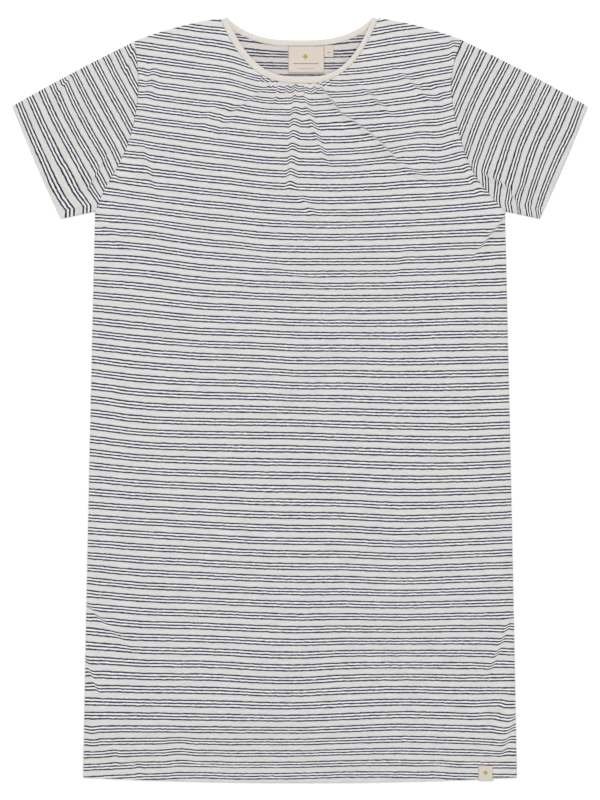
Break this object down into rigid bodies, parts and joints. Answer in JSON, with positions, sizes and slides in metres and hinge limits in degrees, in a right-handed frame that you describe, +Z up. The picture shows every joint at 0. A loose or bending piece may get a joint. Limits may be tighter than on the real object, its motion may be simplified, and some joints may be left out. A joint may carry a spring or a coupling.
{
  "type": "nightshirt laid flat",
  "caption": "Knee-length short-sleeved jersey nightshirt with narrow horizontal stripes, a bound round neck with gathers below it and inside labels, laid flat on its back",
  "frame": {"origin": "on the surface it lies on, under the middle of its footprint", "axes": "+Y from the hem towards the neck, +X towards the wearer's left sleeve, +Z up, out of the front"},
  "size_m": [0.6992, 0.93, 0.0082],
  "materials": {
    "striped_jersey": "matt cotton jersey, pale grey-cream with groups of thin navy stripes",
    "plain_binding": "matt plain cotton jersey, cream",
    "woven_label": "smooth woven tape, cream, with plain woven marks"
  },
  "bodies": {
    "root": {"front_panel": "striped_jersey", "back_panel": "striped_jersey", "sleeve_right": "striped_jersey", "sleeve_left": "striped_jersey", "neck_binding_front": "plain_binding", "neck_binding_back": "plain_binding", "neck_label": "woven_label", "size_tab": "woven_label", "hem_label": "woven_label"}
  },
  "joints": []
}
